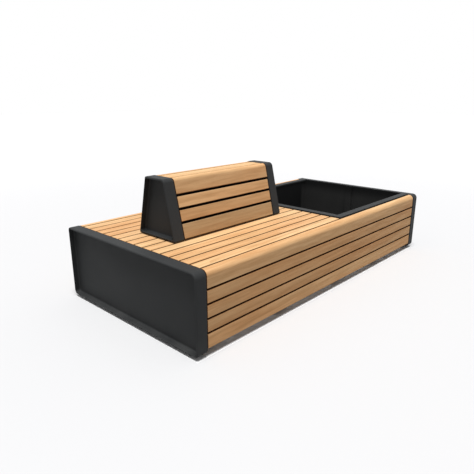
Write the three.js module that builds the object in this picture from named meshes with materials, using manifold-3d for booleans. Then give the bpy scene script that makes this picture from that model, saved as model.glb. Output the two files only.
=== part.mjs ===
// Bench with planter: timber slats on steel cross frames between two tray-shaped end panels,
// a double-sided backrest clamped on the deck, and a steel planter that fills one end.
// Lengths are in millimetres. X runs along the bench, -Y is the front and +Z is up.
// The origin is on the ground, under the middle of the bench.

import * as THREE from 'three';
import { mergeVertices } from 'three/addons/utils/BufferGeometryUtils.js';
import Module from 'manifold-3d';

// Overall size
const LENGTH = 2525;
const WIDTH = 1190;
const PANEL_HEIGHT = 450;
const GROUND_CLEARANCE = 17;

// Clearances
const SEAT_GAP = 0.3;
const SLAT_END_GAP = 2;
const CUT_OVERRUN = 5;

// Steel trays: the end panels and the backrest's side panels
const TRAY_DEPTH = 75;
const TRAY_WALL = 8;
const TRAY_RECESS = 48;
const WEB_THICKNESS = 5;
const TRAY_EDGE_RADIUS = 6;
const TRAY_FILLET = 14;
const TRAY_INSIDE_RADIUS = 16;
const PANEL_FRONT_RADIUS = 35;
const PANEL_BACK_RADIUS = 15;
const PANEL_BOTTOM_RADIUS = 28;

// Timber: the slats share out the room between the corner slats and the bottom slats
const SLAT_GAP = 10;
const SLAT_THICKNESS = 32;
const SLAT_EDGE_RADIUS = 3;
const TIMBER_SET_BACK = 2;
const CORNER_SLAT_WIDTH = 42;
const CORNER_SLAT_HEIGHT = 96;
const BOTTOM_SLAT_HEIGHT = 80;
const BOTTOM_SLAT_LIFT = 28;
const DECK_SLATS = 14;
const SIDE_SLATS = 3;

// Planter
const PLANTER_LENGTH = 1078;
const PLANTER_DEPTH = 391;
const SHEET = 3;
const RIM_WIDTH = 54;
const RIM_RISE = 7;
const RIM_SKIRT = 40;
const RIM_CORNER_RADIUS = 4;
const RIM_OVERHANG = 4;
const DRAIN_RADIUS = 15;
const DRAIN_INSET = 180;
const STIFFENER_WIDTH = 56;
const STIFFENER_DEPTH = 22;

// Backrest
const BACKREST_START = 238;
const BACKREST_TO_PLANTER = 177;
const BACKREST_HEIGHT = 349;
const BACKREST_BASE_WIDTH = 334;
const BACKREST_TOP_WIDTH = 169;
const BACKREST_LIFT = 5;
const BACKREST_TIMBER_LIFT = 12;
const BACKREST_FRONT_RADIUS = 28;
const BACKREST_BACK_RADIUS = 15;
const BACKREST_FOOT_RADIUS = 8;
const BACKREST_SLAT_GAP = 11;
const BACKREST_CORNER_SLAT_WIDTH = 28;
const BACKREST_CORNER_SLAT_HEIGHT = 90;
const BACKREST_BOTTOM_SLAT_HEIGHT = 90;
const BACKREST_PLAIN_SLATS = 2;

// Cross frames and feet
const FRAME_LIFT = 20;
const FRAME_DEPTH = 50;
const FRAME_PLATE = 8;
const FRAME_FLANGE = 5;
const FRAME_FLANGE_WIDTH = 60;
const RIB_FLANGE_WIDTH = 40;
const FOOT_INSET = 190;
const FOOT_OFFSET = 38;
const FOOT_PAD_RADIUS = 35;
const FOOT_PAD_THICKNESS = 8;
const FOOT_PAD_CHAMFER = 2;
const FOOT_STEM_RADIUS = 10;

// Clamp bolts of the backrest
const BOLT_RADIUS = 4;
const BOLT_HOLE_CLEARANCE = 0.5;
const BOLT_HEAD_RADIUS = 8;
const BOLT_HEAD_HEIGHT = 6;
const BOLT_WASHER_RADIUS = 18;
const BOLT_WASHER_THICKNESS = 4;
const BOLT_NUT_HEIGHT = 8;
const BOLT_END = 4;
const BOLT_INSET = 55;
const BAR_WIDTH = 50;

// Smoothness of round shapes, in steps
const CORNER_STEPS = 6;
const EDGE_STEPS = 2;
const ROUND_STEPS = 16;

// Levels and faces worked out from the sizes above
const PANEL_TOP = GROUND_CLEARANCE + PANEL_HEIGHT;
const DECK_TOP = PANEL_TOP - TIMBER_SET_BACK;
const DECK_UNDERSIDE = DECK_TOP - SLAT_THICKNESS;
const PANEL_FACE = WIDTH / 2;
const TIMBER_FACE = PANEL_FACE - TIMBER_SET_BACK;
const DECK_FACE = TIMBER_FACE - CORNER_SLAT_WIDTH - SLAT_GAP;
const DECK_PITCH = (2 * DECK_FACE + SLAT_GAP) / DECK_SLATS;
const SIDE_SLAT_TOP = DECK_TOP - CORNER_SLAT_HEIGHT - SLAT_GAP;
const SIDE_SLAT_BOTTOM = GROUND_CLEARANCE + BOTTOM_SLAT_LIFT + BOTTOM_SLAT_HEIGHT;
const SIDE_PITCH = (SIDE_SLAT_TOP - SIDE_SLAT_BOTTOM) / SIDE_SLATS;
const TRAY_PASS = TRAY_RECESS + WEB_THICKNESS;
const LEFT_END = -LENGTH / 2;
const TIMBER_START = LEFT_END + TRAY_DEPTH + SLAT_END_GAP;
const SIDE_SLAT_LENGTH = LENGTH - 2 * (TRAY_DEPTH + SLAT_END_GAP);
const PLANTER_END = LENGTH / 2 - TRAY_DEPTH - SEAT_GAP;
const PLANTER_START = PLANTER_END - PLANTER_LENGTH;
const DECK_END = PLANTER_START - SLAT_GAP;
const RIM_TOP = DECK_TOP + RIM_RISE;
const OPENING_FACE = DECK_FACE - RIM_WIDTH;
const TUB_FACE = OPENING_FACE + RIM_OVERHANG + SHEET;
const TUB_TOP = RIM_TOP - SHEET - SEAT_GAP;
const TUB_BOTTOM = TUB_TOP - PLANTER_DEPTH;
const TUB_START = PLANTER_START + RIM_WIDTH - RIM_OVERHANG - SHEET;
const TUB_END = PLANTER_END - SHEET - SEAT_GAP;

const wasm = await Module();
wasm.setup();

// Local x, y and z of a section become the bench's Y, Z and X
const ALONG_X = new THREE.Matrix4().makeBasis(
  new THREE.Vector3(0, 1, 0),
  new THREE.Vector3(0, 0, 1),
  new THREE.Vector3(1, 0, 0),
);

const timber = new THREE.MeshStandardMaterial({ color: 0xc79a68, roughness: 0.62, metalness: 0 });
const anthracite = new THREE.MeshStandardMaterial({ color: 0x33373a, roughness: 0.5, metalness: 0.1 });
const planterPaint = new THREE.MeshStandardMaterial({ color: 0x2a2d2f, roughness: 0.55, metalness: 0.1 });
const galvanised = new THREE.MeshStandardMaterial({ color: 0x9da3a6, roughness: 0.45, metalness: 0.8 });
const stainless = new THREE.MeshStandardMaterial({ color: 0xb9bcbd, roughness: 0.3, metalness: 0.9 });
const rubber = new THREE.MeshStandardMaterial({ color: 0x1b1b1c, roughness: 0.85, metalness: 0 });

// Closed outlines

function corner(y, z, radius = 0) {
  return { y, z, radius };
}

function turnAt(corners, index) {
  const here = corners[index];
  const before = corners[(index + corners.length - 1) % corners.length];
  const after = corners[(index + 1) % corners.length];
  const incoming = new THREE.Vector2(here.y - before.y, here.z - before.z).normalize();
  const outgoing = new THREE.Vector2(after.y - here.y, after.z - here.z).normalize();
  return {
    incoming,
    inwardBefore: new THREE.Vector2(-incoming.y, incoming.x),
    inwardAfter: new THREE.Vector2(-outgoing.y, outgoing.x),
    angle: Math.atan2(incoming.cross(outgoing), incoming.dot(outgoing)),
  };
}

// Moves every edge of a counter-clockwise outline inwards by the same distance
function inset(corners, distance) {
  return corners.map((here, index) => {
    const { inwardBefore, inwardAfter } = turnAt(corners, index);
    const reach = distance / (1 + inwardBefore.dot(inwardAfter));
    return corner(
      here.y + (inwardBefore.x + inwardAfter.x) * reach,
      here.z + (inwardBefore.y + inwardAfter.y) * reach,
      Math.max(here.radius - distance, 0),
    );
  });
}

// The outline's points, with each rounded corner as an arc
function outlinePoints(corners, steps) {
  return corners.flatMap((here, index) => {
    if (here.radius === 0) return [new THREE.Vector2(here.y, here.z)];
    const { incoming, inwardBefore, angle } = turnAt(corners, index);
    const start = new THREE.Vector2(here.y, here.z)
      .addScaledVector(incoming, -here.radius * Math.tan(angle / 2));
    const centre = start.clone().addScaledVector(inwardBefore, here.radius);
    return Array.from({ length: steps + 1 }, (_, step) =>
      start.clone().rotateAround(centre, (angle * step) / steps));
  });
}

function box(start, end) {
  return [
    corner(start.y, start.z, start.radius),
    corner(end.y, start.z, start.radius),
    corner(end.y, end.z, end.radius),
    corner(start.y, end.z, end.radius),
  ];
}

// The outline with its front and back swapped, still counter-clockwise
function mirrored(corners) {
  return corners.map((here) => corner(-here.y, here.z, here.radius)).reverse();
}

// Solids

function prism(corners, depth, { steps = CORNER_STEPS, hole = null } = {}) {
  const shape = new THREE.Shape(outlinePoints(corners, steps));
  if (hole) shape.holes.push(new THREE.Path(outlinePoints(hole, steps)));
  return new THREE.ExtrudeGeometry(shape, { depth, bevelEnabled: false });
}

// A prism with its two end edges rounded off
function softPrism(corners, depth, radius) {
  const shape = new THREE.Shape(outlinePoints(inset(corners, radius), CORNER_STEPS));
  const geometry = new THREE.ExtrudeGeometry(shape, {
    depth: depth - 2 * radius,
    bevelEnabled: true,
    bevelThickness: radius,
    bevelSize: radius,
    bevelSegments: EDGE_STEPS + 1,
  });
  return geometry.translate(0, 0, radius);
}

function toSolid(geometry) {
  const bare = geometry.clone();
  bare.deleteAttribute('normal');
  bare.deleteAttribute('uv');
  const merged = mergeVertices(bare);
  const index = merged.index
    ? merged.index.array
    : Uint32Array.from({ length: merged.attributes.position.count }, (_, vertex) => vertex);
  return new wasm.Manifold(new wasm.Mesh({
    numProp: 3,
    vertProperties: Float32Array.from(merged.attributes.position.array),
    triVerts: Uint32Array.from(index),
  }));
}

function toGeometry(solid) {
  const mesh = solid.getMesh();
  const geometry = new THREE.BufferGeometry();
  geometry.setAttribute('position', new THREE.BufferAttribute(Float32Array.from(mesh.vertProperties), 3));
  geometry.setIndex(new THREE.BufferAttribute(Uint32Array.from(mesh.triVerts), 1));
  const faceted = geometry.toNonIndexed();
  faceted.computeVertexNormals();
  return faceted;
}

function join(...geometries) {
  return toGeometry(geometries.map(toSolid).reduce((whole, piece) => whole.add(piece)));
}

function cut(geometry, ...cutters) {
  return toGeometry(cutters.map(toSolid).reduce((whole, piece) => whole.subtract(piece), toSolid(geometry)));
}

function piece(name, geometry, material, x = 0, y = 0, z = 0) {
  const mesh = new THREE.Mesh(geometry, material);
  mesh.name = name;
  mesh.position.set(x, y, z);
  return mesh;
}

// A section drawn across the bench and extruded along it, starting at x
function lengthwise(name, geometry, material, x) {
  return piece(name, geometry.applyMatrix4(ALONG_X), material, x);
}

// Trays: a band round a recessed web, open towards local x = 0

function tray(corners) {
  const inside = inset(corners, TRAY_WALL)
    .map((here) => corner(here.y, here.z, Math.max(here.radius, TRAY_INSIDE_RADIUS)));
  const block = softPrism(corners, TRAY_DEPTH, TRAY_EDGE_RADIUS);
  const recessStart = -TRAY_FILLET - CUT_OVERRUN;
  const recess = softPrism(inside, TRAY_RECESS - recessStart, TRAY_FILLET).translate(0, 0, recessStart);
  const back = prism(inside, TRAY_DEPTH - TRAY_PASS + CUT_OVERRUN).translate(0, 0, TRAY_PASS);
  return cut(block, recess, back).applyMatrix4(ALONG_X);
}

// The second tray is turned half round, so its outline is mirrored first
function trayPair(corners, length, firstName, secondName) {
  const pair = new THREE.Group();
  const first = piece(firstName, tray(corners), anthracite, -length / 2);
  const second = piece(secondName, tray(mirrored(corners)), anthracite, length / 2);
  second.rotation.z = Math.PI;
  pair.add(first, second);
  return pair;
}

function endPanels() {
  const outline = box(
    { y: -PANEL_FACE, z: GROUND_CLEARANCE, radius: PANEL_BOTTOM_RADIUS },
    { y: PANEL_FACE, z: PANEL_TOP, radius: PANEL_BACK_RADIUS },
  );
  outline[3].radius = PANEL_FRONT_RADIUS;
  return trayPair(outline, LENGTH, 'end_panel_left', 'end_panel_right');
}

// Timber of the bench

function slatSection(y, z, width, height) {
  return box(
    { y, z, radius: SLAT_EDGE_RADIUS },
    { y: y + width, z: z + height, radius: SLAT_EDGE_RADIUS },
  );
}

function deckSlats() {
  const slats = new THREE.Group();
  for (let i = 0; i < DECK_SLATS; i += 1) {
    const y = -DECK_FACE + i * DECK_PITCH;
    const section = slatSection(y, DECK_UNDERSIDE, DECK_PITCH - SLAT_GAP, SLAT_THICKNESS);
    const name = `deck_slat_${String(i + 1).padStart(2, '0')}`;
    const slat = prism(section, DECK_END - TIMBER_START, { steps: EDGE_STEPS });
    slats.add(lengthwise(name, slat, timber, TIMBER_START));
  }
  return slats;
}

// One long side: the rounded corner slat, the plain slats and the taller bottom slat
function sideSlats(side, cornerRadius) {
  const slats = new THREE.Group();
  const cornerSection = slatSection(
    -TIMBER_FACE, DECK_TOP - CORNER_SLAT_HEIGHT, CORNER_SLAT_WIDTH, CORNER_SLAT_HEIGHT,
  );
  cornerSection[3].radius = cornerRadius - TIMBER_SET_BACK;
  const cornerSlat = prism(cornerSection, SIDE_SLAT_LENGTH);
  slats.add(lengthwise(`corner_slat_${side}`, cornerSlat, timber, TIMBER_START));
  for (let i = 0; i <= SIDE_SLATS; i += 1) {
    const height = i < SIDE_SLATS ? SIDE_PITCH - SLAT_GAP : BOTTOM_SLAT_HEIGHT;
    const z = SIDE_SLAT_TOP - i * SIDE_PITCH - height;
    const section = slatSection(-TIMBER_FACE, z, SLAT_THICKNESS, height);
    const slat = prism(section, SIDE_SLAT_LENGTH, { steps: EDGE_STEPS });
    slats.add(lengthwise(`${side}_slat_${i + 1}`, slat, timber, TIMBER_START));
  }
  return slats;
}

// Cross frames: a plate edged with a flange that the slats are screwed to

function flangedPlate(corners, flangeWidth, window = null) {
  const flange = prism(corners, flangeWidth, { hole: inset(corners, FRAME_FLANGE) });
  const plate = prism(inset(corners, FRAME_FLANGE / 2), FRAME_PLATE, { hole: window });
  return join(flange, plate.translate(0, 0, (flangeWidth - FRAME_PLATE) / 2));
}

const FRAME_BOTTOM = GROUND_CLEARANCE + FRAME_LIFT;
const FRAME_SHOULDER = DECK_TOP - CORNER_SLAT_HEIGHT - SEAT_GAP;
const FRAME_FACE = TIMBER_FACE - SLAT_THICKNESS - SEAT_GAP;

// The frame's outline, stepped in at a shoulder under each corner slat
function frameOutline(inner, innerLevel) {
  return [
    corner(-FRAME_FACE, FRAME_BOTTOM),
    corner(FRAME_FACE, FRAME_BOTTOM),
    corner(FRAME_FACE, FRAME_SHOULDER),
    corner(inner, FRAME_SHOULDER),
    corner(inner, innerLevel),
    corner(-inner, innerLevel),
    corner(-inner, FRAME_SHOULDER),
    corner(-FRAME_FACE, FRAME_SHOULDER),
  ];
}

function deckFrame() {
  const outline = frameOutline(TIMBER_FACE - CORNER_SLAT_WIDTH - SEAT_GAP, DECK_UNDERSIDE - SEAT_GAP);
  const window = box(
    { y: -FRAME_FACE + FRAME_DEPTH, z: FRAME_BOTTOM + FRAME_DEPTH, radius: 0 },
    { y: FRAME_FACE - FRAME_DEPTH, z: DECK_UNDERSIDE - SEAT_GAP - FRAME_DEPTH, radius: 0 },
  );
  return flangedPlate(outline, FRAME_FLANGE_WIDTH, window);
}

// Frames under the planter are cradles that the tub stands in
function planterFrame() {
  return flangedPlate(frameOutline(TUB_FACE + SEAT_GAP, TUB_BOTTOM - SEAT_GAP), FRAME_FLANGE_WIDTH);
}

const FIRST_FRAME = LEFT_END + TRAY_PASS + SEAT_GAP;
const DECK_END_FRAME = DECK_END - SLAT_END_GAP - FRAME_FLANGE_WIDTH;
const MIDDLE_FRAME = (FIRST_FRAME + DECK_END_FRAME) / 2;
const LAST_FRAME = -FIRST_FRAME - FRAME_FLANGE_WIDTH;
const PLANTER_MIDDLE_FRAME = (DECK_END_FRAME + LAST_FRAME) / 2;

function crossFrames() {
  const frames = new THREE.Group();
  const deck = deckFrame();
  const planter = planterFrame();
  frames.add(
    lengthwise('cross_frame_left', deck.clone(), anthracite, FIRST_FRAME),
    lengthwise('cross_frame_middle', deck.clone(), anthracite, MIDDLE_FRAME),
    lengthwise('cross_frame_deck_end', deck.clone(), anthracite, DECK_END_FRAME),
    lengthwise('planter_frame_middle', planter.clone(), anthracite, PLANTER_MIDDLE_FRAME),
    lengthwise('planter_frame_right', planter.clone(), anthracite, LAST_FRAME),
  );
  return frames;
}

function feet() {
  const padEdge = FOOT_PAD_RADIUS - FOOT_PAD_CHAMFER;
  const profile = [
    new THREE.Vector2(0, 0),
    new THREE.Vector2(padEdge, 0),
    new THREE.Vector2(FOOT_PAD_RADIUS, FOOT_PAD_CHAMFER),
    new THREE.Vector2(FOOT_PAD_RADIUS, FOOT_PAD_THICKNESS - FOOT_PAD_CHAMFER),
    new THREE.Vector2(padEdge, FOOT_PAD_THICKNESS),
    new THREE.Vector2(FOOT_STEM_RADIUS, FOOT_PAD_THICKNESS),
    new THREE.Vector2(FOOT_STEM_RADIUS, FRAME_BOTTOM - SEAT_GAP),
    new THREE.Vector2(0, FRAME_BOTTOM - SEAT_GAP),
  ];
  const geometry = new THREE.LatheGeometry(profile, ROUND_STEPS).rotateX(Math.PI / 2);
  const places = {
    left: FIRST_FRAME + FOOT_OFFSET,
    middle: DECK_END_FRAME + FRAME_FLANGE_WIDTH / 2,
    right: -FIRST_FRAME - FOOT_OFFSET,
  };
  const y = PANEL_FACE - FOOT_INSET;
  const group = new THREE.Group();
  for (const [place, x] of Object.entries(places)) {
    group.add(piece(`foot_front_${place}`, geometry.clone(), rubber, x, -y));
    group.add(piece(`foot_back_${place}`, geometry.clone(), rubber, x, y));
  }
  return group;
}

// Planter, drawn in plan

function plan(startX, endX, faceY, radius = 0) {
  return [
    corner(startX, -faceY, radius),
    corner(endX, -faceY, radius),
    corner(endX, faceY, radius),
    corner(startX, faceY, radius),
  ];
}

function planterRim() {
  const outer = plan(PLANTER_START, PLANTER_END, DECK_FACE, RIM_CORNER_RADIUS);
  const opening = plan(PLANTER_START + RIM_WIDTH, PLANTER_END - SHEET, OPENING_FACE);
  const top = prism(outer, SHEET, { steps: EDGE_STEPS, hole: opening });
  const skirt = prism(outer, RIM_SKIRT, { steps: EDGE_STEPS, hole: inset(outer, SHEET) });
  top.translate(0, 0, RIM_TOP - SHEET);
  skirt.translate(0, 0, RIM_TOP - RIM_SKIRT);
  return piece('planter_rim', join(top, skirt), planterPaint);
}

function planterTub() {
  const outer = plan(TUB_START, TUB_END, TUB_FACE);
  const block = prism(outer, PLANTER_DEPTH).translate(0, 0, TUB_BOTTOM);
  const inside = prism(inset(outer, SHEET), PLANTER_DEPTH).translate(0, 0, TUB_BOTTOM + SHEET);
  const drains = [];
  for (const x of [TUB_START + DRAIN_INSET, TUB_END - DRAIN_INSET]) {
    for (const y of [-TUB_FACE + DRAIN_INSET, TUB_FACE - DRAIN_INSET]) {
      const hole = new THREE.CylinderGeometry(DRAIN_RADIUS, DRAIN_RADIUS, CUT_OVERRUN * 2, ROUND_STEPS);
      drains.push(hole.rotateX(Math.PI / 2).translate(x, y, TUB_BOTTOM));
    }
  }
  return piece('planter_tub', cut(block, inside, ...drains), planterPaint);
}

// A folded channel that stiffens the tub's far wall
function planterStiffener() {
  const back = TUB_END - SHEET - SEAT_GAP;
  const front = back - STIFFENER_DEPTH;
  const half = STIFFENER_WIDTH / 2;
  const channel = [
    corner(front, -half),
    corner(back, -half),
    corner(back, -half + SHEET),
    corner(front + SHEET, -half + SHEET),
    corner(front + SHEET, half - SHEET),
    corner(back, half - SHEET),
    corner(back, half),
    corner(front, half),
  ];
  const bottom = TUB_BOTTOM + SHEET + SEAT_GAP;
  const height = TUB_TOP - bottom;
  return piece('planter_stiffener', prism(channel, height), planterPaint, 0, 0, bottom);
}

// Backrest

const BACKREST_LEFT = LEFT_END + BACKREST_START;
const BACKREST_LENGTH = PLANTER_START - BACKREST_TO_PLANTER - BACKREST_LEFT;
const BACKREST_CENTRE = BACKREST_LEFT + BACKREST_LENGTH / 2;
const BACKREST_BOTTOM = DECK_TOP + BACKREST_LIFT;
const BACKREST_TOP = BACKREST_BOTTOM + BACKREST_HEIGHT;
const BACKREST_SPREAD = (BACKREST_BASE_WIDTH - BACKREST_TOP_WIDTH) / 2 / BACKREST_HEIGHT;
const BACKREST_LEAN = Math.atan(BACKREST_SPREAD);
const BACKREST_BAY = BACKREST_LENGTH - 2 * TRAY_DEPTH;

// Half of the backrest's width at a level, with its sloping faces moved in
function backrestFace(z, moveIn) {
  return BACKREST_TOP_WIDTH / 2 + (BACKREST_TOP - z) * BACKREST_SPREAD - moveIn / Math.cos(BACKREST_LEAN);
}

function backrestOutline(bottom, top, moveIn) {
  return [
    corner(-backrestFace(bottom, moveIn), bottom),
    corner(backrestFace(bottom, moveIn), bottom),
    corner(backrestFace(top, moveIn), top),
    corner(-backrestFace(top, moveIn), top),
  ];
}

function backrestPanels() {
  const radii = [BACKREST_FOOT_RADIUS, BACKREST_FOOT_RADIUS, BACKREST_BACK_RADIUS, BACKREST_FRONT_RADIUS];
  const outline = backrestOutline(BACKREST_BOTTOM, BACKREST_TOP, 0)
    .map((here, index) => corner(here.y, here.z, radii[index]));
  return trayPair(outline, BACKREST_LENGTH, 'backrest_panel_left', 'backrest_panel_right');
}

const BACKREST_TIMBER_TOP = BACKREST_TOP - TIMBER_SET_BACK;
const CORNER_SLAT_EDGE = backrestFace(BACKREST_TIMBER_TOP, TIMBER_SET_BACK) - BACKREST_CORNER_SLAT_WIDTH;
const BACKREST_SLAT_LENGTH = BACKREST_BAY - 2 * SLAT_END_GAP;

function backrestSlat(name, corners, steps = EDGE_STEPS) {
  return lengthwise(name, prism(corners, BACKREST_SLAT_LENGTH, { steps }), timber, -BACKREST_SLAT_LENGTH / 2);
}

// A point on the sloping front: down the slope from its sharp top edge, then into the timber
function slopePoint(down, into, radius = SLAT_EDGE_RADIUS) {
  const along = new THREE.Vector2(-Math.sin(BACKREST_LEAN), -Math.cos(BACKREST_LEAN));
  const inward = new THREE.Vector2(-along.y, along.x);
  const start = new THREE.Vector2(-backrestFace(BACKREST_TIMBER_TOP, TIMBER_SET_BACK), BACKREST_TIMBER_TOP);
  const point = start.addScaledVector(along, down).addScaledVector(inward, into);
  return corner(point.x, point.y, radius);
}

function slopeSection(start, end) {
  return [
    slopePoint(start, 0),
    slopePoint(end, 0),
    slopePoint(end, SLAT_THICKNESS),
    slopePoint(start, SLAT_THICKNESS),
  ];
}

// The rounded slat that turns from the sloping face to the backrest's top
function backrestCornerSection(cornerRadius) {
  const underside = BACKREST_TIMBER_TOP - SLAT_THICKNESS;
  return [
    slopePoint(0, 0, cornerRadius - TIMBER_SET_BACK),
    slopePoint(BACKREST_CORNER_SLAT_HEIGHT, 0),
    slopePoint(BACKREST_CORNER_SLAT_HEIGHT, SLAT_THICKNESS),
    corner(-backrestFace(underside, TIMBER_SET_BACK + SLAT_THICKNESS), underside),
    corner(-CORNER_SLAT_EDGE, underside),
    corner(-CORNER_SLAT_EDGE, BACKREST_TIMBER_TOP, SLAT_EDGE_RADIUS),
  ];
}

// One face of the backrest: the corner slat, the plain slats and the taller bottom slat
function backrestSide(side, cornerRadius) {
  const slats = new THREE.Group();
  const slope = (BACKREST_TIMBER_TOP - DECK_TOP - BACKREST_TIMBER_LIFT) / Math.cos(BACKREST_LEAN);
  const first = BACKREST_CORNER_SLAT_HEIGHT + BACKREST_SLAT_GAP;
  const pitch = (slope - BACKREST_BOTTOM_SLAT_HEIGHT - first) / BACKREST_PLAIN_SLATS;
  const cornerSection = backrestCornerSection(cornerRadius);
  slats.add(backrestSlat(`backrest_corner_slat_${side}`, cornerSection, CORNER_STEPS));
  for (let i = 0; i <= BACKREST_PLAIN_SLATS; i += 1) {
    const start = first + i * pitch;
    const end = i < BACKREST_PLAIN_SLATS ? start + pitch - BACKREST_SLAT_GAP : slope;
    slats.add(backrestSlat(`backrest_${side}_slat_${i + 1}`, slopeSection(start, end)));
  }
  return slats;
}

function backrestTopBoard() {
  const underside = BACKREST_TIMBER_TOP - SLAT_THICKNESS;
  const face = CORNER_SLAT_EDGE - BACKREST_SLAT_GAP;
  const section = slatSection(-face, underside, 2 * face, SLAT_THICKNESS);
  return backrestSlat('backrest_top_slat', section);
}

// Bars that lie on the deck inside the backrest, each over a gap between two deck slats
const BAR_BOTTOM = DECK_TOP + SEAT_GAP;
const BAR_TOP = BACKREST_BOTTOM + TRAY_WALL;
const BAR_LENGTH = BACKREST_BAY - 2 * SEAT_GAP;
const BOLT_REACH = BAR_LENGTH / 2 - BOLT_INSET;

function clampBar(side, y) {
  const section = box(
    { y: -BAR_WIDTH / 2, z: BAR_BOTTOM, radius: 0 },
    { y: BAR_WIDTH / 2, z: BAR_TOP, radius: 0 },
  );
  const bar = prism(section, BAR_LENGTH).applyMatrix4(ALONG_X).translate(-BAR_LENGTH / 2, 0, 0);
  const holeRadius = BOLT_RADIUS + BOLT_HOLE_CLEARANCE;
  const height = BAR_TOP - BAR_BOTTOM + CUT_OVERRUN * 2;
  const holes = [-BOLT_REACH, BOLT_REACH].map((x) =>
    new THREE.CylinderGeometry(holeRadius, holeRadius, height, ROUND_STEPS)
      .rotateX(Math.PI / 2)
      .translate(x, 0, (BAR_TOP + BAR_BOTTOM) / 2));
  return piece(`backrest_bar_${side}`, cut(bar, ...holes), galvanised, 0, y);
}

// A bolt through the bar and the deck gap, with its washer and nut drawn up under the slats
function clampBolt(name, x, y) {
  const washerTop = DECK_UNDERSIDE - SEAT_GAP;
  const washerBottom = washerTop - BOLT_WASHER_THICKNESS;
  const nutBottom = washerBottom - BOLT_NUT_HEIGHT;
  const headBottom = BAR_TOP + SEAT_GAP;
  const profile = [
    new THREE.Vector2(0, nutBottom - BOLT_END),
    new THREE.Vector2(BOLT_RADIUS, nutBottom - BOLT_END),
    new THREE.Vector2(BOLT_RADIUS, nutBottom),
    new THREE.Vector2(BOLT_HEAD_RADIUS, nutBottom),
    new THREE.Vector2(BOLT_HEAD_RADIUS, washerBottom),
    new THREE.Vector2(BOLT_WASHER_RADIUS, washerBottom),
    new THREE.Vector2(BOLT_WASHER_RADIUS, washerTop),
    new THREE.Vector2(BOLT_RADIUS, washerTop),
    new THREE.Vector2(BOLT_RADIUS, headBottom),
    new THREE.Vector2(BOLT_HEAD_RADIUS, headBottom),
    new THREE.Vector2(BOLT_HEAD_RADIUS, headBottom + BOLT_HEAD_HEIGHT),
    new THREE.Vector2(0, headBottom + BOLT_HEAD_HEIGHT),
  ];
  const geometry = new THREE.LatheGeometry(profile, ROUND_STEPS).rotateX(Math.PI / 2);
  return piece(name, geometry, stainless, x, y);
}

function clamps() {
  const group = new THREE.Group();
  for (const [side, y] of [['front', -DECK_PITCH], ['back', DECK_PITCH]]) {
    group.add(
      clampBar(side, y),
      clampBolt(`backrest_bolt_${side}_left`, -BOLT_REACH, y),
      clampBolt(`backrest_bolt_${side}_right`, BOLT_REACH, y),
    );
  }
  return group;
}

// Two ribs against the panels' webs carry the slats, and a spine joins them under the top board
function backrestCore() {
  const bottom = BAR_TOP + SEAT_GAP;
  const top = BACKREST_TIMBER_TOP - SLAT_THICKNESS - SEAT_GAP;
  const moveIn = TIMBER_SET_BACK + SLAT_THICKNESS + SEAT_GAP;
  const rib = flangedPlate(backrestOutline(bottom, top, moveIn), RIB_FLANGE_WIDTH);
  const outer = BACKREST_LENGTH / 2 - TRAY_PASS - SEAT_GAP;
  const reach = outer - RIB_FLANGE_WIDTH - SEAT_GAP;
  const spineOutline = box({ y: -reach, z: bottom, radius: 0 }, { y: reach, z: top, radius: 0 });
  const spine = flangedPlate(spineOutline, RIB_FLANGE_WIDTH).rotateX(Math.PI / 2);
  const group = new THREE.Group();
  group.add(
    lengthwise('backrest_rib_left', rib.clone(), anthracite, -outer),
    lengthwise('backrest_rib_right', rib.clone(), anthracite, outer - RIB_FLANGE_WIDTH),
    piece('backrest_spine', spine, anthracite, 0, RIB_FLANGE_WIDTH / 2),
  );
  return group;
}

function backrest() {
  const group = new THREE.Group();
  const back = backrestSide('back', BACKREST_BACK_RADIUS);
  back.rotation.z = Math.PI;
  group.add(
    backrestPanels(),
    backrestSide('front', BACKREST_FRONT_RADIUS),
    back,
    backrestTopBoard(),
    backrestCore(),
    clamps(),
  );
  group.position.x = BACKREST_CENTRE;
  return group;
}

// The whole bench

const bench = new THREE.Group();
const backSlats = sideSlats('back', PANEL_BACK_RADIUS);
backSlats.rotation.z = Math.PI;
bench.add(
  endPanels(),
  deckSlats(),
  sideSlats('front', PANEL_FRONT_RADIUS),
  backSlats,
  crossFrames(),
  feet(),
  planterTub(),
  planterRim(),
  planterStiffener(),
  backrest(),
);

export default bench;
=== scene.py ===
import math

import bmesh
import bpy
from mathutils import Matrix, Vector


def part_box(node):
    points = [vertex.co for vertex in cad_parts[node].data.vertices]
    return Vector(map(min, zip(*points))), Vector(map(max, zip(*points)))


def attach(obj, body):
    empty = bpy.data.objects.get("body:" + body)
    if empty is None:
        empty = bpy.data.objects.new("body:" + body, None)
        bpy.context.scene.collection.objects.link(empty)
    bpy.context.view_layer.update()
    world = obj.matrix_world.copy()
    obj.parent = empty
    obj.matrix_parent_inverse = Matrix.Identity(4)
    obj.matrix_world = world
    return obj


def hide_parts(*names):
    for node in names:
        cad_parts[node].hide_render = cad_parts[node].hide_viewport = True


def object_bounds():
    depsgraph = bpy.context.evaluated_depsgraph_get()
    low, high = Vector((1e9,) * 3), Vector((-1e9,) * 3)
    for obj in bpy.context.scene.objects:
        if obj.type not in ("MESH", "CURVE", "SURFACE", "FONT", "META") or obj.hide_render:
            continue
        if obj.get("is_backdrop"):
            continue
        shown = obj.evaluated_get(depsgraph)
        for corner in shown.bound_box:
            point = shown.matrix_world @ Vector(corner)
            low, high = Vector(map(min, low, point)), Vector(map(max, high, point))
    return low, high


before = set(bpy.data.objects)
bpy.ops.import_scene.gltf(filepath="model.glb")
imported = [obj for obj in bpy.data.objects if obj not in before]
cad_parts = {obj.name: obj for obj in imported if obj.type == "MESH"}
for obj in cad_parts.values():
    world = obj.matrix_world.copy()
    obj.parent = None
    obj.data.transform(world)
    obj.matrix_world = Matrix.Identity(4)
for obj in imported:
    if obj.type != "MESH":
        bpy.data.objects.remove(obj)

cad_low, cad_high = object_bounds()


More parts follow.
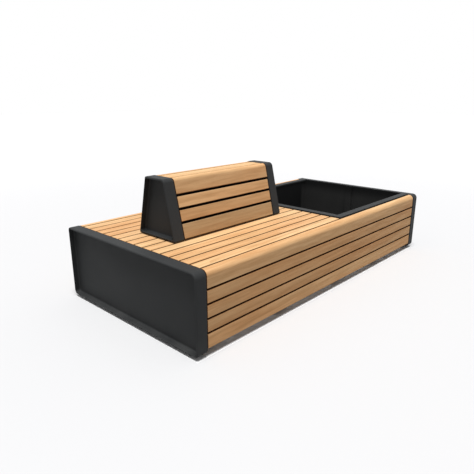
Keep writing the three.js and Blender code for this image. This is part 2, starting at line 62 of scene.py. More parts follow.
# Camera
# It stands off the bench's front left corner, above the backrest's level, and looks along
# the bench and down on its deck.
LOOKS_DOWN = 0.2956  # radians below level
LOOKS_ROUND = 0.7487  # radians from along the bench towards its back

bpy.ops.object.camera_add(
    location=(-2.5986, -2.1022, 1.2600),
    rotation=(math.pi / 2 - LOOKS_DOWN, 0, LOOKS_ROUND - math.pi / 2),
)
camera = bpy.context.object
camera.data.lens = 35.23
camera.data.sensor_width = 36
bpy.context.scene.camera = camera


# Cross frames, planter cradles and the backrest's ribs and spine
# Steel plate edged with flanges, welded and powder coated. They hold the timber and the
# planter from inside, so only the gaps between the slats show them.
class Wire:
    """An output of a shader node, which takes sums like a number.

    One without an output only serves to add a tree's first nodes.
    """

    def __init__(self, tree, output=None):
        self.tree = tree
        self.output = output

    def node(self, kind, inputs, output=0, **settings):
        """Adds a node, makes its settings, then sets its inputs or wires them."""
        node = self.tree.nodes.new("ShaderNode" + kind)
        for setting, value in settings.items():
            setattr(node, setting, value)
        for place, value in inputs.items():
            if isinstance(value, Wire):
                self.tree.links.new(value.output, node.inputs[place])
            else:
                node.inputs[place].default_value = value
        return Wire(self.tree, node.outputs[output])

    def maths(self, operation, *others):
        return self.node("Math", dict(enumerate((self, *others))), operation=operation)

    def __add__(self, other):
        return self.maths("ADD", other)

    def __sub__(self, other):
        return self.maths("SUBTRACT", other)

    def __rsub__(self, other):
        return self.node("Math", {0: other, 1: self}, operation="SUBTRACT")

    def __mul__(self, other):
        return self.maths("MULTIPLY", other)

    __radd__ = __add__
    __rmul__ = __mul__

    def part(self, axis):
        """The X, Y or Z of a vector."""
        return self.node("SeparateXYZ", {"Vector": self}, output=axis)

    def length(self):
        """How long a vector is."""
        return self.node("VectorMath", {0: self}, output="Value", operation="LENGTH")

    def attribute(self, name, output):
        """What the piece's mesh carries under this name."""
        return self.node("Attribute", {}, output=output, attribute_name=name)

    def spread(self, low, high, to_low=0.0, to_high=1.0):
        """Low to high becomes to_low to to_high, and what lies outside is held.

        Low may be above high, for what fades as this grows.
        """
        inputs = {
            "Value": self, "From Min": low, "From Max": high, "To Min": to_low, "To Max": to_high,
        }
        return self.node("MapRange", inputs, interpolation_type="SMOOTHSTEP")

    def blend(self, first, second):
        """The first colour where this is 0, the second where it is 1, and so on past them."""
        # The Mix node's colours have only numbers of their own: 6 and 7 going in, 2 coming out
        inputs = {"Factor": self, 6: first, 7: second}
        return self.node("Mix", inputs, output=2, data_type="RGBA", clamp_factor=False)

    def noise(self, scale, detail=2.0, roughness=0.5, stretch=(1, 1, 1)):
        """Cloudy noise over these coordinates, in cells of about 1/scale metres."""
        place = self.node("Mapping", {"Vector": self, "Scale": stretch})
        inputs = {"Vector": place, "Scale": scale, "Detail": detail, "Roughness": roughness}
        return self.node("TexNoise", inputs)

    def bump(self, depth, strength):
        """The normal of a surface that this raises by up to depth metres."""
        inputs = {"Height": self, "Distance": depth, "Strength": strength}
        return self.node("Bump", inputs)


def new_material(name):
    """A material, its shader, and a wire of the object's own coordinates in metres."""
    material = bpy.data.materials.new(name)
    material.use_nodes = True
    tree = material.node_tree
    place = Wire(tree).node("TexCoord", {}, output="Object")
    return material, tree.nodes["Principled BSDF"], place


def set_shader(shader, **values):
    """Wires or sets the shader's inputs, each named with _ for a space."""
    for name, value in values.items():
        socket = shader.inputs[name.replace("_", " ")]
        if isinstance(value, Wire):
            value.tree.links.new(value.output, socket)
        else:
            socket.default_value = value


# Dust low down, and painted light that lightens the lower surfaces
DUST_AND_PAINTED_LIGHT = (0.16, 0.158, 0.152, 1)
# Paler paint for painted light on a wall that is lit more
PAINTED_LIGHT_ON_WALL = (0.050, 0.050, 0.049, 1)
# Painted shade in the joints, such as where the trays' bands meet the timber
PAINTED_JOINT_SHADE = (0.007, 0.006, 0.005, 1)


def powder_coat(name, colour, roughness, dust_and_light, dust_and_light_top, shine=0.12, painted_light_zone=None):
    """Fine-textured paint baked on steel, paler low down up to a level and darker in its joints.

    The paler paint low down is dust and painted light: the first dust number is how much lies
    low down, and the second the height in metres that it reaches. The darker joints are painted
    shade. Painted light on one wall, if any, is where it starts and where it is full, along X and
    then down Z.
    """
    material, shader, place = new_material(name)
    cloud = place.noise(5.0, detail=5.0, roughness=0.6)
    speckle = place.noise(900.0, detail=1.0)
    peel = place.noise(420.0)
    level = place.part("Z")
    dust_and_painted_light = cloud.spread(0.35, 0.75) * level.spread(dust_and_light_top, dust_and_light_top * 0.15) * dust_and_light
    lighter = tuple(value * 1.25 for value in colour)
    paint = (0.6 * cloud + 0.4 * speckle).spread(0.3, 0.7).blend((*colour, 1), (*lighter, 1))
    paint = dust_and_painted_light.blend(paint, DUST_AND_PAINTED_LIGHT)
    # Painted light: paler paint over a zone of one wall, along X and down Z
    if painted_light_zone:
        start_x, thick_x, start_z, thick_z = painted_light_zone
        along = place.part("X").spread(start_x, thick_x)
        painted_lit = along * level.spread(start_z, thick_z) * cloud.spread(0.25, 0.75, 0.85, 1.0)
        paint = painted_lit.blend(paint, PAINTED_LIGHT_ON_WALL)
    # Faces that carry painted shade are darkened to the joint colour
    set_shader(
        shader,
        Base_Color=place.attribute("painted_shade", "Fac").blend(paint, PAINTED_JOINT_SHADE),
        Roughness=cloud.spread(0.25, 0.75, roughness, roughness + 0.12) + 0.25 * dust_and_painted_light,
        Normal=peel.bump(depth=0.00006, strength=0.6),
        Specular_IOR_Level=shine,
    )
    return material


def dress(material, *nodes):
    """Gives CAD nodes this material in place of their own."""
    for name in nodes:
        for material_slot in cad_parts[name].material_slots:
            material_slot.material = material


frame_coat = powder_coat(
    "frame_powder_coat", colour=(0.011, 0.012, 0.013), roughness=0.55, dust_and_light=0.3, dust_and_light_top=0.12,
)
dress(
    frame_coat,
    "cross_frame_left", "cross_frame_middle", "cross_frame_deck_end",
    "planter_frame_middle", "planter_frame_right",
    "backrest_rib_left", "backrest_rib_right", "backrest_spine",
)


# Feet
# Levelling feet of black moulded rubber: a round pad that rises to a sleeve over a steel
# stem, which is screwed into a frame.
CLOSE = 0.00005  # metres within which a point counts as being at a place


def near(value, wanted):
    return abs(value - wanted) < CLOSE


def pick(piece):
    """Makes the piece the only one that is selected, and the active one."""
    bpy.ops.object.select_all(action="DESELECT")
    piece.select_set(True)
    bpy.context.view_layer.objects.active = piece


def start_piece(name):
    """Names the object just made and puts its place and size into its mesh."""
    bpy.ops.object.transform_apply(location=True, rotation=True, scale=True)
    piece = bpy.context.object
    piece.name = name
    piece.data.name = name
    return piece


def copy_of(piece, name, shift):
    """A copy with its own mesh, moved by shift."""
    pick(piece)
    bpy.ops.object.duplicate(linked=False)
    bpy.ops.transform.translate(value=shift)
    return start_piece(name)


def select(kind, passes):
    """In edit mode, selects the edges or faces whose points all pass."""
    bpy.ops.mesh.select_mode(type=kind)
    bpy.ops.mesh.select_all(action="DESELECT")
    mesh = bpy.context.object.data
    shape = bmesh.from_edit_mesh(mesh)
    parts = shape.faces if kind == "FACE" else shape.edges
    for part in parts:
        part.select_set(all(passes(*vertex.co) for vertex in part.verts))
    bmesh.update_edit_mesh(mesh)


def round_edges(offset, passes, segments):
    """In edit mode, rounds the edges whose points all pass, from offset on both sides."""
    select("EDGE", passes)
    bpy.ops.mesh.bevel(offset=offset, segments=segments, affect="EDGES", clamp_overlap=False)


def apply_modifier(piece, kind, **settings):
    """Adds a modifier with these settings to the piece and applies it."""
    pick(piece)
    bpy.ops.object.modifier_add(type=kind)
    modifier = piece.modifiers[-1]
    for setting, value in settings.items():
        setattr(modifier, setting, value)
    bpy.ops.object.modifier_apply(modifier=modifier.name)


def shade(piece, degrees=40):
    """Smooth curves, with flat faces kept flat."""
    pick(piece)
    bpy.ops.object.shade_smooth_by_angle(angle=math.radians(degrees))
    apply_modifier(piece, "WEIGHTED_NORMAL", keep_sharp=True)


def fit(piece, material, slot, *nodes):
    """Puts the finished piece in the place of its CAD nodes."""
    piece.data.materials.clear()
    piece.data.materials.append(material)
    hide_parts(*nodes)
    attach(piece, "root")


BLACK_RUBBER = (0.012, 0.012, 0.013, 1)
SCUFFED_RUBBER = (0.05, 0.048, 0.045, 1)
rubber, shader, place = new_material("foot_rubber")
scuff = place.noise(60.0, detail=4.0)
set_shader(
    shader,
    Base_Color=scuff.spread(0.45, 0.7).blend(BLACK_RUBBER, SCUFFED_RUBBER),
    Roughness=scuff.spread(0.3, 0.7, 0.72, 0.9),
    Normal=place.noise(700.0).bump(depth=0.0002, strength=0.5),
)

SLEEVE_RADIUS = 0.010
SHOULDER = 0.004
PAD_TOP = 0.008
PAD_RISE = 0.004
PAD_EDGE = 0.002
PAD_FLAT = 0.25  # share of the pad's radius that stays flat, before it rises to the sleeve
foot_low, foot_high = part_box("foot_front_left")
centre_x, centre_y = [(low + high) / 2 for low, high in zip(foot_low[:2], foot_high[:2])]
pad_radius = (foot_high[0] - foot_low[0]) / 2
bpy.ops.object.select_all(action="DESELECT")
bpy.ops.mesh.primitive_cylinder_add(
    vertices=48, radius=pad_radius, depth=PAD_TOP, location=(centre_x, centre_y, PAD_TOP / 2),
)
foot = start_piece("foot_front_left_pad")
bpy.ops.object.mode_set(mode="EDIT")
select("FACE", lambda x, y, z: near(z, PAD_TOP))
bpy.ops.mesh.inset(thickness=pad_radius * PAD_FLAT)
rise_width = pad_radius * (1 - PAD_FLAT) - SLEEVE_RADIUS - SHOULDER
bpy.ops.mesh.inset(thickness=rise_width, depth=PAD_RISE)
bpy.ops.mesh.inset(thickness=SHOULDER)
bpy.ops.mesh.extrude_region_move(
    TRANSFORM_OT_translate={"value": (0, 0, foot_high[2] - PAD_TOP - PAD_RISE)},
)
round_edges(
    PAD_EDGE, lambda x, y, z: near(math.hypot(x - centre_x, y - centre_y), pad_radius), segments=3,
)
bpy.ops.object.mode_set(mode="OBJECT")
shade(foot)
for side in ("front", "back"):
    for end in ("left", "middle", "right"):
        node = f"foot_{side}_{end}"
        low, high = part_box(node)
        shift = (low[0] - foot_low[0], low[1] - foot_low[1], 0)
        piece = copy_of(foot, node + "_rubber", shift)
        fit(piece, rubber, "foot_rubber", node)
bpy.data.objects.remove(foot)


# End panels
# Shallow trays of folded and welded steel sheet with rounded corners, powder coated
# anthracite. They are bolted to the outer frames and close the bench's two ends.
TRAY_WALL = 0.008  # how thick the band is behind the web
TRAY_RECESS = 0.036  # how deep the web lies behind the mouth
WEB = 0.005
TRAY_EDGE = 0.006  # the band's rounded edge at the timber
TRAY_FILLET = 0.010  # where the band turns into the web
TRAY_INSIDE = 0.016  # the smallest radius of an inside corner
# How strong the painted shade is on the band's rounded edge where it meets the timber
BAND_PAINTED_SHADE = 0.6


def block(name, low, high):
    bpy.ops.object.select_all(action="DESELECT")
    middle = [(a + b) / 2 for a, b in zip(low, high)]
    size = [b - a for a, b in zip(low, high)]
    bpy.ops.mesh.primitive_cube_add(size=1, location=middle, scale=size)
    return start_piece(name)


def carve(piece, cutter):
    """Cuts the cutter out of the piece and removes it."""
    apply_modifier(piece, "BOOLEAN", operation="DIFFERENCE", solver="EXACT", object=cutter)
    bpy.data.objects.remove(cutter)


def paint_shade(piece, amount):
    """Writes on each of the piece's faces how much painted shade it carries, from 0 to 1."""
    painted_shade = piece.data.attributes.new("painted_shade", "FLOAT", "FACE")
    painted_shade.data.foreach_set("value", [float(amount(face)) for face in piece.data.polygons])


def sloped_block(name, low, high, slope, radii):
    """A block along X whose front and back lean in by slope, with four rounded long edges.

    The radii are those of the front bottom, back bottom, back top and front top edge.
    """
    piece = block(name, low, high)
    top_in = slope * (high[2] - low[2])
    bpy.ops.object.mode_set(mode="EDIT")
    if top_in:
        narrower = 1 - 2 * top_in / (high[1] - low[1])
        middle = (low[1] + high[1]) / 2
        select("FACE", lambda x, y, z: near(z, high[2]))
        bpy.ops.transform.resize(value=(1, narrower, 1), center_override=(0, middle, high[2]))
    lean = math.atan(slope)
    places = [
        (low[1], low[2], math.pi / 2 + lean),
        (high[1], low[2], math.pi / 2 + lean),
        (high[1] - top_in, high[2], math.pi / 2 - lean),
        (low[1] + top_in, high[2], math.pi / 2 - lean),
    ]
    for (edge_y, edge_z, turn), radius in zip(places, radii):
        round_edges(
            radius * math.tan(turn / 2),
            lambda x, y, z: near(y, edge_y) and near(z, edge_z),
            segments=10,
        )
    bpy.ops.object.mode_set(mode="OBJECT")
    return piece


def pressed_tray(name, low, high, slope, radii, outer_end, lip, roll):
    """A tray that opens at its outer end along X: a band round a recessed web.

    The lip is how thick the band is at its mouth, and the roll is its rounded edge there.
    """
    inner_end = low[0] + high[0] - outer_end
    inward = 1 if inner_end > outer_end else -1
    lean = math.atan(slope)

    def inside(title, wall, start, end):
        """What is cut out of the tray from start to end, for a band as thick as wall."""
        # The thickness across a leaning side, and how far the low corner moves along it
        across = wall / math.cos(lean) + wall * slope
        ends = sorted((start, end))
        return sloped_block(
            title,
            (ends[0], low[1] + across, low[2] + wall),
            (ends[1], high[1] - across, high[2] - wall),
            slope,
            [max(radius - wall, TRAY_INSIDE) for radius in radii],
        )

    # Painted shade on the faces of the rounded edge at the timber that turn along X
    def painted_shade_at_the_timber(face):
        on_edge = 0 < abs(face.center.x - inner_end) < TRAY_EDGE
        turned_in = abs(face.normal.x) > 0.1
        return BAND_PAINTED_SHADE * (on_edge and turned_in)

    tray = sloped_block(name, low, high, slope, radii)
    bpy.ops.object.mode_set(mode="EDIT")
    round_edges(roll, lambda x, y, z: near(x, outer_end), segments=8)
    round_edges(TRAY_EDGE, lambda x, y, z: near(x, inner_end), segments=5)
    bpy.ops.object.mode_set(mode="OBJECT")

    # The recess and the hollow behind the web reach past the tray's ends, to cut them open
    web = outer_end + inward * TRAY_RECESS
    recess = inside("recess", lip, outer_end - inward * TRAY_RECESS, web)
    bpy.ops.object.mode_set(mode="EDIT")
    round_edges(TRAY_FILLET, lambda x, y, z: near(x, web), segments=6)
    bpy.ops.object.mode_set(mode="OBJECT")
    carve(tray, recess)
    carve(tray, inside("hollow", TRAY_WALL, web + inward * WEB, inner_end + inward * TRAY_RECESS))
    paint_shade(tray, painted_shade_at_the_timber)
    shade(tray)
    return tray


panel_coat = powder_coat(
    "panel_powder_coat", colour=(0.0295, 0.0309, 0.0317), roughness=0.55, dust_and_light=0.12, dust_and_light_top=0.16,
)

PANEL_RADII = (0.028, 0.028, 0.015, 0.035)
PANEL_LIP = 0.008
PANEL_ROLL = 0.009
for end in ("left", "right"):
    node = f"end_panel_{end}"
    low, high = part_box(node)
    tray = pressed_tray(
        node + "_tray", low, high, 0, PANEL_RADII, low[0] if end == "left" else high[0],
        PANEL_LIP, PANEL_ROLL,
    )
    fit(tray, panel_coat, "panel_steel", node)


# Timber of the bench
# Planed and oiled boards with eased edges, screwed to the frames from below. A heavier
# board with one large rounded edge runs along each long side, where the deck turns down.
PALE_COOL = (0.88, 0.585, 0.31, 1)
PALE_WARM = (0.87, 0.510, 0.245, 1)
DEEP_COOL = (0.58, 0.335, 0.150, 1)
DEEP_WARM = (0.56, 0.285, 0.115, 1)
# The colour of the painted shade in the gaps and at the ends
GAP_PAINTED_SHADE = (0.068, 0.015, 0.002, 1)
# How far apart in the log two boards lie whose sawn numbers differ by 1
LOG_STEP = (3.7, 0.61, 0.37)


def timber_material():
    material, shader, place = new_material("oiled_timber")
    # Each board's own numbers: where in the log it was sawn, how warm and how bright it is
    board = place.attribute("board", "Vector")
    shift = board.node("VectorMath", {0: LOG_STEP, "Scale": board.part("X")}, operation="SCALE")
    log = place.node("VectorMath", {0: place, 1: shift}, operation="ADD")

    # Growth rings: the distance from a slowly wandering pith, in rings of a few millimetres
    wander = log.noise(1.6, stretch=(0.55, 3.0, 3.0))
    pith = log.node("Mapping", {"Vector": log, "Scale": (0.02, 1.0, 1.6)})
    rings = (150.0 * pith.length() + 9.0 * wander).maths("FRACT")
    late_wood = rings.spread(0.35, 0.95) * (1 - rings.spread(0.96, 1.0))
    fibre = log.noise(90.0, detail=4.0, roughness=0.65, stretch=(0.035, 4.0, 4.0))
    pore = log.noise(160.0, detail=1.0, stretch=(0.08, 5.0, 5.0)).spread(0.66, 0.76)
    streak = log.noise(55.0, detail=3.0, roughness=0.6, stretch=(0.07, 1.0, 1.0))
    band = log.noise(7.0, detail=3.0, stretch=(0.12, 2.2, 2.2))
    blush = log.noise(3.0, stretch=(0.5, 3.0, 3.0))

    hue = board.part("Y") + blush.spread(0.3, 0.7, -0.35, 0.35)
    depth = 0.35 * late_wood + 0.25 * fibre.spread(0.3, 0.75)
    depth = depth + 0.5 * streak.spread(0.3, 0.7) + 0.3 * band.spread(0.3, 0.7) + 0.3 * pore
    depth = (depth - 0.2).maths("MAXIMUM", 0.0)
    clean = depth.blend(hue.blend(PALE_COOL, PALE_WARM), hue.blend(DEEP_COOL, DEEP_WARM))
    clean = clean.node("VectorMath", {0: clean, "Scale": board.part("Z")}, operation="SCALE")
    # Painted shade darkens the faces in the gaps and at the board ends, and faces that turn down
    painted_shade = place.attribute("painted_shade", "Fac") * fibre.spread(0.2, 0.8, 0.9, 1.0)
    set_shader(
        shader,
        Base_Color=painted_shade.blend(clean, GAP_PAINTED_SHADE),
        Roughness=fibre.spread(0.2, 0.8, 0.5, 0.66),
        Normal=(0.6 * fibre - 0.15 * late_wood - 0.6 * pore).bump(depth=0.00025, strength=0.5),
        Specular_IOR_Level=0.12,
    )
    return material


timber = timber_material()

EASED = 0.004
END_EASED = 0.003


def board_block(name, low, high, eased=EASED, rounded=None, radius=0.0):
    """A board along X with eased edges; rounded is the y and z of its one large round edge."""
    piece = block(name, low, high)
    bpy.ops.object.mode_set(mode="EDIT")
    corners = [(y, z) for y in (low[1], high[1]) for z in (low[2], high[2])]
    for edge_y, edge_z in corners:
        large = rounded == (edge_y, edge_z)
        round_edges(
            radius if large else eased,
            lambda x, y, z: near(y, edge_y) and near(z, edge_z),
            segments=12 if large else 4,
        )
    for end in (low[0], high[0]):
        round_edges(END_EASED, lambda x, y, z: near(x, end), segments=3)
    bpy.ops.object.mode_set(mode="OBJECT")
    shade(piece)
    return piece


# How far a face's normal points one way: on a flat face, from half-way round the edge that
# leads to it, from where that edge starts, and on a board's end
FLAT = 0.95
HALF_ROUND = 0.75
ON_EDGE = 0.4
AT_END = 0.3


def season(piece, sawn, warmth, light, painted_gap_shade):
    """Writes a board's own numbers on its mesh, and painted shade on its ends and in its gaps."""
    numbers = piece.data.attributes.new("board", "FLOAT_VECTOR", "POINT")
    numbers.data.foreach_set("vector", (sawn, warmth, light) * len(piece.data.vertices))
    paint_shade(piece, lambda face: 1.0 if abs(face.normal.x) > AT_END else painted_gap_shade(face.normal))


# Tones from front to back: how warm, then how bright
DECK_TONES = (
    (0.20, 1.02), (0.75, 0.94), (0.60, 0.98), (0.60, 0.97), (0.15, 1.02), (0.65, 1.00),
    (0.20, 1.04), (0.65, 0.99), (0.20, 0.99), (0.60, 0.95), (1.05, 0.92), (0.90, 0.95),
    (1.05, 0.92), (0.20, 0.99),
)
DECK_SAWN_STEP = 1.37
DECK_GAP_SHADE = 0.75
first_low, first_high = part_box("deck_slat_01")
deck_board = board_block("deck_board", first_low, first_high)
for number, (warmth, light) in enumerate(DECK_TONES, start=1):
    node = f"deck_slat_{number:02d}"
    low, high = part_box(node)
    piece = copy_of(deck_board, node + "_board", (0, low[1] - first_low[1], 0))
    # Painted shade on the faces that look into the gaps between the boards
    season(
        piece, number * DECK_SAWN_STEP, warmth, light,
        lambda normal: DECK_GAP_SHADE * (abs(normal.y) > HALF_ROUND),
    )
    fit(piece, timber, "timber", node)
bpy.data.objects.remove(deck_board)

TIMBER_FRONT_RADIUS = 0.033
TIMBER_BACK_RADIUS = 0.013
CORNER_FACE_SHADE = 0.09


def corner_painted_shade(normal, sign):
    """Painted shade: full on the underside and towards the deck, and more the further a face turns
    down.
    """
    hidden = normal.z < -HALF_ROUND or normal.y * sign < -HALF_ROUND
    return 1.0 if hidden else CORNER_FACE_SHADE * (1 - normal.z)


for side, sign, radius, sawn in (
    ("front", -1, TIMBER_FRONT_RADIUS, 20.8), ("back", 1, TIMBER_BACK_RADIUS, 25.4),
):
    node = f"corner_slat_{side}"
    low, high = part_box(node)
    face = low[1] if side == "front" else high[1]
    piece = board_block(node + "_board", low, high, rounded=(face, high[2]), radius=radius)
    season(
        piece, sawn, warmth=0.5, light=1.02, painted_gap_shade=lambda normal: corner_painted_shade(normal, sign),
    )
    fit(piece, timber, "timber", node)

# Tones from the top down
SIDE_TONES = ((1.05, 0.875), (1.60, 0.785), (1.30, 0.84), (0.80, 1.01))
SIDE_SAWN_STEP = 2.9
SIDE_EDGE_SHADE = 0.5


def side_painted_shade(normal, bottom):
    """Painted shade, full in the gaps above and below and half on the upper eased edge; the bottom
    slat has no gap below it.
    """
    if normal.z < -HALF_ROUND:
        return 0.0 if bottom else 1.0
    return 1.0 if normal.z > FLAT else SIDE_EDGE_SHADE * (normal.z > ON_EDGE)


for side, sawn in (("front", 31), ("back", 47)):
    for number, (warmth, light) in enumerate(SIDE_TONES, start=1):
        node = f"{side}_slat_{number}"
        low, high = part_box(node)
        bottom = number == len(SIDE_TONES)
        if number == 1 or bottom:
            piece = board_block(node + "_board", low, high)
        else:
            piece = copy_of(plain, node + "_board", (0, 0, low[2] - plain_low[2]))
        if number == 1:
            plain, plain_low = piece, low
        season(
            piece, number * SIDE_SAWN_STEP + sawn, warmth, light,
            lambda normal: side_painted_shade(normal, bottom),
        )
        fit(piece, timber, "timber", node)


# Planter
# A welded steel tub with drain holes, a flat folded rim round three of its sides that
# rests on the deck frames, and an upright channel that stiffens its far wall.
SHEET = 0.003
RIM_WIDTH = 0.054
RIM_CORNER = 0.004
RIM_EDGE = 0.0028
RIM_FOLD = 0.0055
LIP_DROP = 0.014
planter_coat = powder_coat(
    "planter_powder_coat", colour=(0.0285, 0.0297, 0.0302), roughness=0.55, dust_and_light=0.3, dust_and_light_top=0.3,
)

low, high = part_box("planter_rim")
rim = block("planter_rim_folded", low, high)
bpy.ops.object.mode_set(mode="EDIT")
for x_side in (low[0], high[0]):
    for y_side in (low[1], high[1]):
        round_edges(RIM_CORNER, lambda x, y, z: near(x, x_side) and near(y, y_side), segments=4)
round_edges(RIM_EDGE, lambda x, y, z: near(z, high[2]), segments=4)
bpy.ops.object.mode_set(mode="OBJECT")
inner_low = (low[0] + RIM_WIDTH, low[1] + RIM_WIDTH)
inner_high = (high[0] - SHEET, high[1] - RIM_WIDTH)
carve(rim, block("opening", (*inner_low, low[2] - SHEET), (*inner_high, high[2] + SHEET)))

# The fold into the opening stops a little short of the bench's end
fold_end = inner_high[0] - 2 * RIM_FOLD
bpy.ops.object.mode_set(mode="EDIT")
bpy.ops.mesh.select_all(action="SELECT")
bpy.ops.mesh.bisect(plane_co=(fold_end, 0, 0), plane_no=(1, 0, 0))
round_edges(
    RIM_FOLD,
    lambda x, y, z: near(z, high[2]) and inner_low[0] - SHEET < x < fold_end + SHEET
    and inner_low[1] - SHEET < y < inner_high[1] + SHEET,
    segments=5,
)
bpy.ops.object.mode_set(mode="OBJECT")

# Below the flat top only the outer skirt is left, and a short lip along the opening
within_low = (low[0] + SHEET, low[1] + SHEET, low[2] - SHEET)
within_high = (high[0] - SHEET, high[1] - SHEET)
under_top = high[2] - SHEET
for title, start, end in (
    ("under_lip", within_low, (*within_high, high[2] - LIP_DROP)),
    ("left_leg", within_low, (inner_low[0] - SHEET, within_high[1], under_top)),
    ("front_leg", within_low, (within_high[0], inner_low[1] - SHEET, under_top)),
    ("back_leg", (within_low[0], inner_high[1] + SHEET, within_low[2]), (*within_high, under_top)),
):
    carve(rim, block(title, start, end))
shade(rim, degrees=50)
fit(rim, planter_coat, "planter_steel", "planter_rim")

# Inside the tub the dust low down also paints its lower walls paler, as painted light, and the
# wall at the bench's end gets more painted light low down. It starts and is full this far from
# that end, and then at these heights.
PAINTED_LIGHT_STARTS = 0.16
PAINTED_LIGHT_FULL_FROM_END = 0.12
PAINTED_LIGHT_TOP = 0.455
PAINTED_LIGHT_FULL_BELOW = 0.355
tub_coat = powder_coat(
    "tub_powder_coat", colour=(0.015, 0.0153, 0.0156), roughness=0.6, dust_and_light=0.3, dust_and_light_top=0.3,
    shine=0.05, painted_light_zone=(cad_high[0] - PAINTED_LIGHT_STARTS, cad_high[0] - PAINTED_LIGHT_FULL_FROM_END, PAINTED_LIGHT_TOP, PAINTED_LIGHT_FULL_BELOW),
)
dress(tub_coat, "planter_tub", "planter_stiffener")


# Backrest
# Two smaller trays with leaning sides stand on the deck with boards between them on both
# faces. Bars under the boards are drawn down on the deck by bolts through its gaps.
BACKREST_BASE_WIDTH = 0.334
BACKREST_TOP_WIDTH = 0.169
BACKREST_RADII = (0.008, 0.008, 0.009, 0.028)
BACKREST_LIP = 0.010
BACKREST_ROLL = 0.0075

panel_low, panel_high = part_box("backrest_panel_left")
backrest_slope = (BACKREST_BASE_WIDTH - BACKREST_TOP_WIDTH) / 2 / (panel_high[2] - panel_low[2])
lean = math.atan(backrest_slope)
for end in ("left", "right"):
    node = f"backrest_panel_{end}"
    low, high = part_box(node)
    tray = pressed_tray(
        node + "_tray",
        (low[0], -BACKREST_BASE_WIDTH / 2, low[2]),
        (high[0], BACKREST_BASE_WIDTH / 2, high[2]),
        backrest_slope, BACKREST_RADII, low[0] if end == "left" else high[0],
        BACKREST_LIP, BACKREST_ROLL,
    )
    fit(tray, panel_coat, "panel_steel", node)

TIMBER_THICK = 0.032
SET_BACK = 0.002  # how far the boards stand back from the trays' edges
CORNER_LEG = 0.0895
BOTTOM_SLAT = 0.0855
BACKREST_GAP = 0.0155
BACKREST_EASED = 0.002
timber_top = panel_high[2] - SET_BACK
crest = BACKREST_TOP_WIDTH / 2 + SET_BACK * backrest_slope - SET_BACK / math.cos(lean)
corner_low, corner_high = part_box("backrest_corner_slat_front")
bottom_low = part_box("backrest_front_slat_3")[0]


def leaning_board(name, down_start, down_end, sign):
    """A board across the face, leant over about the backrest's sharp top edge on this side."""
    outer = sign * crest
    inner = sign * (crest - TIMBER_THICK)
    piece = board_block(
        name,
        (corner_low[0], min(outer, inner), timber_top - down_end),
        (corner_high[0], max(outer, inner), timber_top - down_start),
        eased=BACKREST_EASED,
    )
    bpy.ops.object.mode_set(mode="EDIT")
    bpy.ops.mesh.select_all(action="SELECT")
    bpy.ops.transform.rotate(
        value=-sign * lean, orient_axis="X", center_override=(0, outer, timber_top),
    )
    bpy.ops.object.mode_set(mode="OBJECT")
    return piece


# Down the slope from the crest: the corner slat's leg, two plain slats and the bottom slat
slope_length = (timber_top - bottom_low[2]) / math.cos(lean) - TIMBER_THICK * math.tan(lean)
bottom_start = slope_length - BOTTOM_SLAT
plain_pitch = (bottom_start - CORNER_LEG - BACKREST_GAP) / 2
spans = [
    (CORNER_LEG + BACKREST_GAP, CORNER_LEG + plain_pitch),
    (CORNER_LEG + BACKREST_GAP + plain_pitch, CORNER_LEG + 2 * plain_pitch),
    (bottom_start, slope_length),
]
# Tones from the crest down: how warm, then how bright; the brightness falls down the slope towards
# the deck, as painted shade.
BACKREST_TONES_AND_SHADE = ((0.35, 0.91), (0.90, 0.78), (0.10, 0.62))
BACKREST_SAWN = 61
BACKREST_SAWN_STEP = 3.3


def leaning_painted_shade(normal, sign):
    """Painted shade, full on the faces that look up or down the slope, into a gap."""
    return abs(normal.z * math.cos(lean) - normal.y * sign * math.sin(lean)) > FLAT


for side, sign in (("front", -1), ("back", 1)):
    for number, (span, tone_and_shade) in enumerate(zip(spans, BACKREST_TONES_AND_SHADE), start=1):
        node = f"backrest_{side}_slat_{number}"
        piece = leaning_board(node + "_board", *span, sign)
        season(
            piece, BACKREST_SAWN + number * BACKREST_SAWN_STEP * sign, *tone_and_shade,
            lambda normal: leaning_painted_shade(normal, sign),
        )
        fit(piece, timber, "timber", node)

low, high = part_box("backrest_top_slat")
piece = board_block("backrest_top_slat_board", low, high)
# Painted shade on the faces that look into the gaps, and on the ends
season(piece, sawn=83.0, warmth=0.3, light=0.98, painted_gap_shade=lambda normal: abs(normal.y) > FLAT)
fit(piece, timber, "timber", "backrest_top_slat")

# The end of a corner slat's leg leans, and its face at the top board is upright
LEG_END = 0.9
UPRIGHT = 0.99
CREST_FACE_SHADE = 0.27


def crest_painted_shade(normal):
    """Painted shade, full in a corner slat's two gaps, and more the further a face turns down."""
    in_gap = normal.z < -LEG_END or abs(normal.y) > UPRIGHT
    return 1.0 if in_gap else CREST_FACE_SHADE * (1 - normal.z)


for side, sawn in (("front", 82.0), ("back", 81.0)):
    node = f"backrest_corner_slat_{side}"
    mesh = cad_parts[node].data.copy()
    piece = bpy.data.objects.new(node + "_board", mesh)
    bpy.context.collection.objects.link(piece)
    pick(piece)
    bpy.ops.object.mode_set(mode="EDIT")
    bpy.ops.mesh.select_all(action="SELECT")
    bpy.ops.mesh.remove_doubles(threshold=0.00001)
    bpy.ops.mesh.dissolve_limited(angle_limit=math.radians(1))
    bpy.ops.object.mode_set(mode="OBJECT")
    shade(piece)
    season(piece, sawn, warmth=0.7, light=0.99, painted_gap_shade=crest_painted_shade)
    fit(piece, timber, "timber", node)

DARK_ZINC = (0.28, 0.30, 0.31, 1)
LIGHT_ZINC = (0.46, 0.48, 0.49, 1)
zinc, shader, place = new_material("galvanised_steel")
spangle = place.node("TexVoronoi", {"Vector": place, "Scale": 160.0}, output="Color").part("X")
cloud = place.noise(30.0, detail=4.0)
set_shader(
    shader,
    Base_Color=(0.6 * spangle + 0.4 * cloud).blend(DARK_ZINC, LIGHT_ZINC),
    Roughness=spangle.spread(0.0, 1.0, 0.38, 0.6),
    Metallic=0.85,
)
dress(zinc, "backrest_bar_front", "backrest_bar_back")

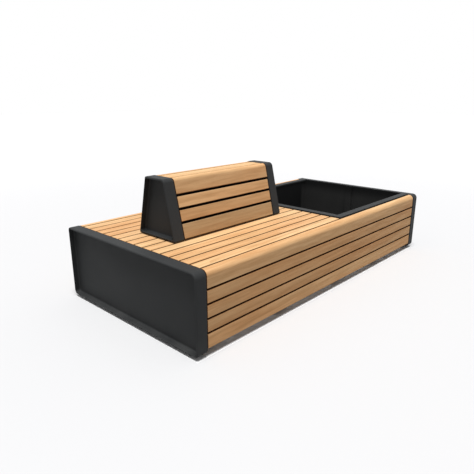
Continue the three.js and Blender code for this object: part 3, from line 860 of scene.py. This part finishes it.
DARK_STAINLESS = (0.42, 0.43, 0.43, 1)
LIGHT_STAINLESS = (0.55, 0.56, 0.56, 1)
stainless, shader, place = new_material("stainless_fastener")
scratch = place.noise(500.0, detail=3.0, stretch=(1, 1, 0.1))
set_shader(
    shader,
    Base_Color=scratch.blend(DARK_STAINLESS, LIGHT_STAINLESS),
    Roughness=scratch.spread(0.2, 0.8, 0.25, 0.42),
    Metallic=1.0,
)
for side in ("front", "back"):
    dress(stainless, f"backrest_bolt_{side}_left", f"backrest_bolt_{side}_right")


# Floor and light
# A plain pale floor, one wide soft light high up on the bench's front left and an even
# white surround.
def seen_directly(wire):
    """1 for what the camera, a reflection or a clear surface sees, 0 for scattered light."""
    camera_ray, glossy_ray, clear_ray = (
        wire.node("LightPath", {}, output=f"Is {kind} Ray")
        for kind in ("Camera", "Glossy", "Transmission")
    )
    return camera_ray.maths("MAXIMUM", glossy_ray).maths("MAXIMUM", clear_ray)


WHITE = (1.0, 1.0, 1.0, 1)
FLOOR_NEAR = (0.72, 0.72, 0.725, 1)
FLOOR_FAR = (0.90, 0.90, 0.90, 1)
FLOOR_GLOW = (0.27, 0.27, 0.27, 1)  # how it lights the bench from below
ROOM_GLOW = (0.30, 0.30, 0.305, 1)  # how the surround lights the bench

bpy.ops.object.select_all(action="DESELECT")
bpy.ops.mesh.primitive_plane_add(size=60, location=(0, 0, 0))
floor = bpy.context.object
floor.name = "floor"
floor_paint, shader, place = new_material("floor_paint")
# It pales from 2 to 14 metres away, as painted light, and is painted white under the bench, as
# painted light in the bench's shadow there
far_off = place.length().spread(2.0, 14.0)
pale = far_off.blend(FLOOR_NEAR, FLOOR_FAR)
off_end = place.part("X").maths("ABSOLUTE") - cad_high[0]
off_side = place.part("Y").maths("ABSOLUTE") - cad_high[1]
under = off_end.maths("MAXIMUM", off_side).maths("LESS_THAN", 0.0)
pale = under.blend(pale, WHITE)
set_shader(
    shader,
    Base_Color=seen_directly(place).blend(FLOOR_GLOW, pale),
    Roughness=0.9,
    Specular_IOR_Level=0.1,
)
floor.data.materials.append(floor_paint)
floor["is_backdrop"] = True

bpy.ops.object.light_add(
    type="SUN", location=(0, 0, 5), rotation=(math.radians(12), 0, math.radians(-50)),
)
top_light = bpy.context.object
top_light.data.angle = math.radians(22)
top_light.data.energy = 3.35

world = bpy.data.worlds.new("studio")
bpy.context.scene.world = world
world.use_nodes = True
room = seen_directly(Wire(world.node_tree)).blend(ROOM_GLOW, WHITE)
set_shader(world.node_tree.nodes["Background"], Color=room, Strength=1.0)
bpy.context.scene.view_settings.view_transform = "Standard"

low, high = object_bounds()
